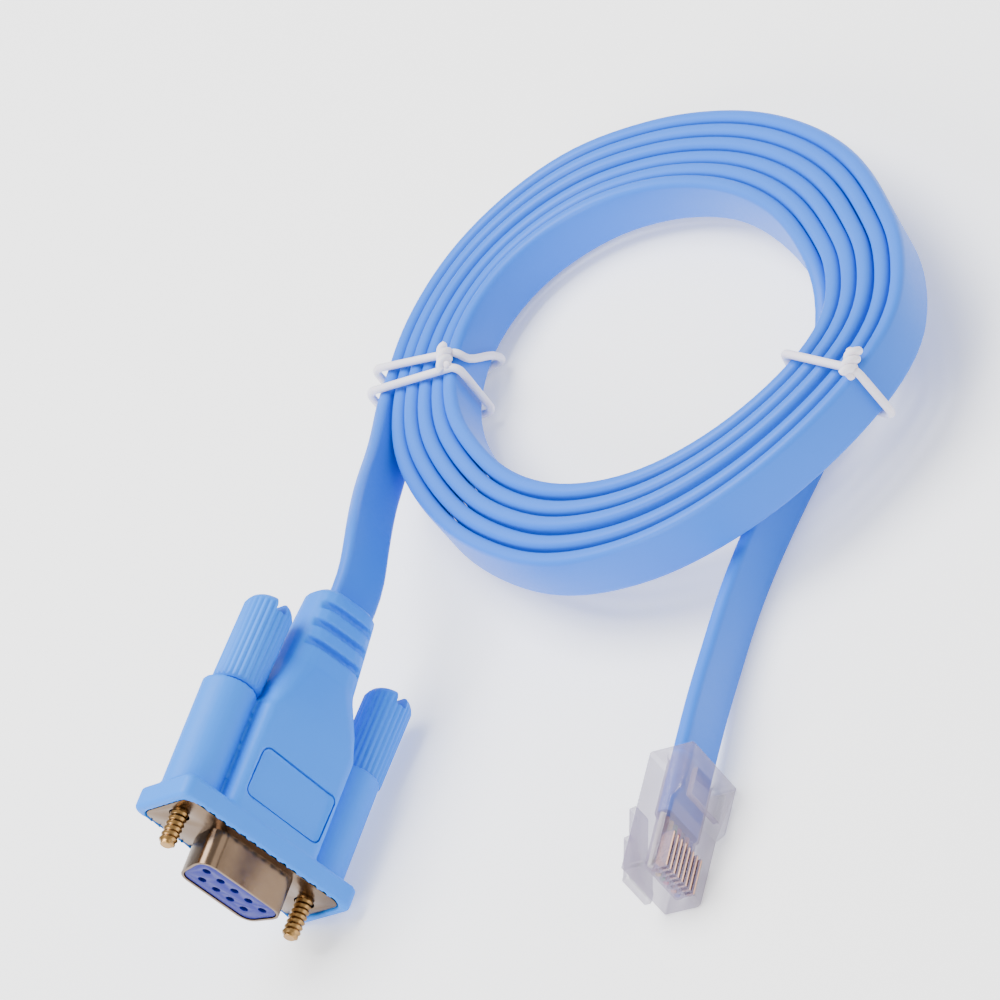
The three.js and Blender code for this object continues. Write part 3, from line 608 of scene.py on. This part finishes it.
def makeScrew(side, sign):
    # a threaded tip and a plain shank that runs back into the head
    c = connector
    rings = []
    sides = c["screwSides"]
    tipRadius, tipGain = c["threadTip"]
    x = c["threadStart"] - c["threadStep"]
    while x < c["threadEnd"]:
        tip = min(1.0, (x - c["threadStart"] + c["threadStep"]) / c["threadTaper"])
        ring = []
        for i in range(sides):
            a = 2 * math.pi * i / sides
            turn = (x / c["threadPitch"] - i / sides) % 1
            radius = c["screwRadius"] - c["threadDepth"] * abs(2 * turn - 1) ** c["threadSharpness"]
            radius *= tipRadius + tipGain * tip
            ring.append(Vector((x, radius * math.cos(a), radius * math.sin(a))))
        rings.append(ring)
        x += c["threadStep"]
    radius = c["screwRadius"] - c["threadDepth"]
    turns = [2 * math.pi * i / sides for i in range(sides)]
    for x in (c["threadEnd"], c["screwEnd"]):
        rings.append([Vector((x, radius * math.cos(a), radius * math.sin(a))) for a in turns])
    piece = pieceFromRings(f"{side}Jackscrew", rings)
    placeMesh(piece, Matrix.Scale(mm, 4) @ connectorMatrix @ Matrix.Translation((0, 0, sign * c["screwSpacing"] / 2)))
    paint(piece, yellowZinc)
    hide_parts(f"jackscrew_{side}")
    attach(piece, f"{side}_thumbscrew")


def makeHead(side, sign):
    # a ridged grip with a rounded, slotted end
    c = connector
    sides = c["ridges"] * c["sidesPerRidge"]
    start, end = c["headStart"], c["headStart"] + c["headLength"]
    core = c["headRadius"] - c["ridgeHeight"]
    stations = [  # place along the axis, share of the ridges' height, radius
        (start, 0, core - 0.25), (start + 0.25, 0, core), (start + 0.5, 1, core), (end - 1.7, 1, core),
        (end - 1.3, 0.4, core - 0.02), (end - 1.0, 0, core - 0.1), (end - 0.6, 0, core - 0.35),
        (end - 0.25, 0, core - 0.75), (end, 0, core - 1.4),
    ]
    rings = []
    for x, ridged, radius in stations:
        ring = []
        for i in range(sides):
            a = 2 * math.pi * i / sides
            wave = 0.5 + 0.5 * math.cos(c["ridges"] * a)
            r = radius + ridged * c["ridgeHeight"] * wave ** c["ridgeSharpness"]
            ring.append(Vector((x, r * math.cos(a), r * math.sin(a))))
        rings.append(ring)
    piece = pieceFromRings(f"{side}ThumbscrewHead", rings)
    deselectAll()
    bpy.ops.mesh.primitive_cube_add(size=1, location=(end, 0, 0))
    cutter = bpy.context.active_object
    cutter.scale = (2 * c["slotDepth"], 3 * c["headRadius"], c["slotWidth"])
    bpy.ops.object.transform_apply(location=True, rotation=False, scale=True)
    addCut(piece, "slot", cutter)
    soft = piece.modifiers.new("edgeRound", "BEVEL")
    soft.width = c["headEdge"]
    soft.segments = c["headEdgeSegments"]
    soft.limit_method = "ANGLE"
    soft.angle_limit = math.radians(c["headEdgeAngle"])
    applyModifiers(piece)
    bpy.data.objects.remove(cutter)
    pick(piece)
    bpy.ops.object.shade_smooth_by_angle(angle=math.radians(c["headSmooth"]))
    placeMesh(piece, Matrix.Scale(mm, 4) @ connectorMatrix @ Matrix.Translation((0, 0, sign * c["screwSpacing"] / 2)))
    paint(piece, hoodBlue)
    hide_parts(f"thumbscrew_head_{side}")
    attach(piece, f"{side}_thumbscrew")


mouldedHood = makeHood(hoodLook)
paint(mouldedHood, hoodBlue)
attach(mouldedHood, "cable")
for side, sign in (("upper", 1), ("lower", -1)):
    makeHead(side, sign)
    makeScrew(side, sign)

shellLook = {"edge": 0.16, "segments": 3, "angle": 50, "smooth": 35}
insulatorLook = {"edge": 0.12, "segments": 2, "angle": 50, "smooth": 35}
metalShell = softened("dsub_shell", "metalShell", shellLook)
paint(metalShell, nickelWithPaintedReflection)
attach(metalShell, "cable")
socketInsulator = softened("dsub_insulator", "socketInsulator", insulatorLook)
paint(socketInsulator, insulatorBlue)
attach(socketInsulator, "cable")
for i in range(1, 10):
    paint(cadNodes[f"socket_contact_{i}"], contactGold)
print("nine-way connector made")

# Clear modular plug
plugShellLook = {"edge": 0.18, "segments": 3, "angle": 40, "smooth": 40}
plugLatchLook = {"edge": 0.22, "segments": 3, "angle": 40, "smooth": 40}
plugShell = softened("plug_body", "plugShell", plugShellLook)
plugLatch = softened("plug_latch", "plugLatch", plugLatchLook)
for piece, body in ((plugShell, "cable"), (plugLatch, "latch")):
    paint(piece, plugClear)
    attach(piece, body)
for i, look in enumerate(wireLooks, 1):
    paint(cadNodes[f"conductor_{i}"], look)
    paint(cadNodes[f"plug_contact_{i}"], contactGold)
print("clear plug made")

# Ties: plastic-coated wire, looped round the turns and twisted
tie = {
    "radius": 0.66, "sides": 12, "leftAngles": (128.3, 134.0), "rightAngle": -73.0, "bend": 1.5, "gap": 0.3,
    "bendSteps": 5, "step": 1.2, "slantFade": 1.5, "endSwell": 0.6,
    "leftSpare": (0.4, 0.9), "rightSpare": (0, 0), "leftSlants": (10.9, -1.0), "rightSlant": 3.0,
    "twistRadius": 0.66, "twistTurns": 1.5, "twistSteps": 32, "knotRise": 0.25, "leftKnotTurns": 4.2,
    # a knot's start and end: angle, radius and height, from the tie's own
    "leftKnot": ((-0.8, 0.6, 0.0), (0.6, -1.2, -0.4)), "rightKnot": ((2.6, -1.4, 0.0), (-1.2, -0.2, -0.9)),
}


def bundleReach(angle, strips):
    half = cable["thickness"] / 2 + tie["gap"]
    travelled = cable["startAngle"] - angle
    return windingRadius(travelled + 360 * (strips - 1)) - half, windingRadius(travelled) + half


def sweptWire(name, points, closed):
    # round wire along points in millimetres
    radius, sides = tie["radius"], tie["sides"]
    count = len(points)
    rings = []
    side = None
    turns = [2 * math.pi * k / sides for k in range(sides)]
    for i, point in enumerate(points):
        before = points[(i - 1) % count] if closed or i else point
        after = points[(i + 1) % count] if closed or i < count - 1 else point
        tangent = (after - before).normalized()
        if side is None:
            side = tangent.orthogonal().normalized()
        side = (side - side.dot(tangent) * tangent).normalized()
        other = tangent.cross(side)
        swell = tie["endSwell"] * radius if not closed and i in (0, count - 1) else radius
        rings.append([(point + swell * (math.cos(a) * side + math.sin(a) * other)) * mm for a in turns])
    return pieceFromRings(name, rings, closedPath=closed)


def loopPoints(angle, strips, spare, innerSlant):
    # a loop round the bundle at one angle, with rounded corners; innerSlant turns the
    # stretch that runs down the inner face
    bend, lift = tie["bend"], tie["radius"]
    low, high = tieLow, tieHigh
    inner, outer = bundleReach(angle, strips)
    inner, outer = inner - spare[0], outer + spare[1]
    section = []
    corners = (
        (outer + lift, high + lift, 0), (inner - lift, high + lift, 90),
        (inner - lift, low - lift, 180), (outer + lift, low - lift, 270),
    )
    for r, h, first in corners:
        centreR = r - bend if first in (0, 270) else r + bend
        centreH = h - bend if first in (0, 90) else h + bend
        for i in range(tie["bendSteps"] + 1):
            a = math.radians(first + 90 * i / tie["bendSteps"])
            section.append((centreR + bend * math.cos(a), centreH + bend * math.sin(a)))
    points = []
    for (r, h), (nextR, nextH) in zip(section, section[1:] + section[:1]):
        pieces = max(1, round(math.dist((r, h), (nextR, nextH)) / tie["step"]))
        for k in range(pieces):
            t = k / pieces
            pr, ph = r + (nextR - r) * t, h + (nextH - h) * t
            share = (pr - inner) / (outer - inner)
            sink = smoothStep((high - ph) / (high - low)) if ph < high else 0.0
            near = 1 - smoothStep(share * tie["slantFade"])
            turn = -innerSlant * sink * near
            pr += near * (bundleReach(angle + turn, strips)[0] - bundleReach(angle, strips)[0])
            points.append(coilPoint(angle + turn, pr, ph))
    return points


def twistPoints(start, end, phase, turns):
    axis = end - start
    side = axis.orthogonal().normalized()
    other = axis.normalized().cross(side)
    points = []
    for i in range(tie["twistSteps"] + 1):
        t = i / tie["twistSteps"]
        a = phase + 2 * math.pi * turns * t
        points.append(start + t * axis + tie["twistRadius"] * (math.cos(a) * side + math.sin(a) * other))
    return points


def joinPieces(pieces, name):
    deselectAll()
    for piece in pieces:
        piece.select_set(True)
    bpy.context.view_layer.objects.active = pieces[0]
    bpy.ops.object.join()
    pieces[0].name = name
    pieces[0].data.name = name
    return pieces[0]


def makeTie(name, node, loops, knotStart, knotEnd):
    wires = [sweptWire(name, loop, True) for loop in loops]
    for phase in (0, math.pi):
        wires.append(sweptWire(name, twistPoints(knotStart, knotEnd, phase, tie["twistTurns"]), False))
    piece = joinPieces(wires, name)
    paint(piece, tieWhite)
    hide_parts(node)
    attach(piece, "cable")
    return piece


tieLow, tieHigh = -tie["gap"], cable["width"] + tie["gap"]
knotHeight = tieHigh + 2 * tie["radius"] + tie["knotRise"]


def knotEnds(angles, radius, offsets):
    return [coilPoint(a + turn, radius + out, knotHeight + rise) for a, (turn, out, rise) in zip(angles, offsets)]


leftLoops = [
    loopPoints(angle, cable["wholeTurns"] + 1, tie["leftSpare"], slant)
    for angle, slant in zip(tie["leftAngles"], tie["leftSlants"])
]
leftKnotRadius = windingRadius(tie["leftKnotTurns"] * 360)
leftTie = makeTie(
    "leftTie", "tie_left", leftLoops,
    *knotEnds(tie["leftAngles"], leftKnotRadius, tie["leftKnot"]),
)
rightOuter = bundleReach(tie["rightAngle"], cable["wholeTurns"])[1]
rightTie = makeTie(
    "rightTie", "tie_right",
    [loopPoints(tie["rightAngle"], cable["wholeTurns"], tie["rightSpare"], tie["rightSlant"])],
    *knotEnds((tie["rightAngle"], tie["rightAngle"]), rightOuter, tie["rightKnot"]),
)
print("ties made")

# Floor and lights
studio = {
    "floorSize": 6.0, "floorColour": (0.97, 0.97, 0.97), "world": (1.0, 1.0, 1.0), "worldStrength": 0.8,
    "floorGlow": 0.45, "floorRoughness": 0.7, "grainScale": 60.0, "grainShade": 0.99,
    "lamps": {  # place, aim, size, power
        "topSoftbox": ((-0.1, 0.35, 0.9), (0.0, 0.07, 0.0), 0.7, 20.0),
        "leftSoftbox": ((-0.9, -0.5, 0.6), (0.0, 0.07, 0.0), 0.5, 11.0),
        "rightFill": ((0.8, -0.6, 0.5), (0.02, 0.07, 0.0), 0.6, 2.0),
    },
}


def makeStudio(look):
    deselectAll()
    bpy.ops.mesh.primitive_plane_add(size=look["floorSize"], location=(0, 0, 0))
    floor = bpy.context.active_object
    floor.name = "floor"
    material, nodes, links, shader = startMaterial("paleFloor")
    where = nodes.new("ShaderNodeTexCoord").outputs["Object"]
    grain = addNoise(nodes, links, where, look["grainScale"])
    colour = look["floorColour"]
    shade = tuple(look["grainShade"] * c for c in colour)
    links.new(addMix(nodes, links, grain, shade, colour), shader.inputs["Base Color"])
    shader.inputs["Roughness"].default_value = look["floorRoughness"]
    shader.inputs["Emission Color"].default_value = (*colour, 1)
    shader.inputs["Emission Strength"].default_value = look["floorGlow"]
    paint(floor, material)
    world = bpy.data.worlds.new("studioWorld")
    world.use_nodes = True
    background = world.node_tree.nodes["Background"]
    background.inputs["Color"].default_value = (*look["world"], 1)
    background.inputs["Strength"].default_value = look["worldStrength"]
    bpy.context.scene.world = world
    for name, (place, aim, size, power) in look["lamps"].items():
        bpy.ops.object.light_add(type="AREA", location=place)
        lamp = bpy.context.active_object
        lamp.name = name
        lamp.data.size = size
        lamp.data.energy = power
        lamp.rotation_euler = (Vector(aim) - Vector(place)).to_track_quat("-Z", "Y").to_euler()


makeStudio(studio)
print("studio made")
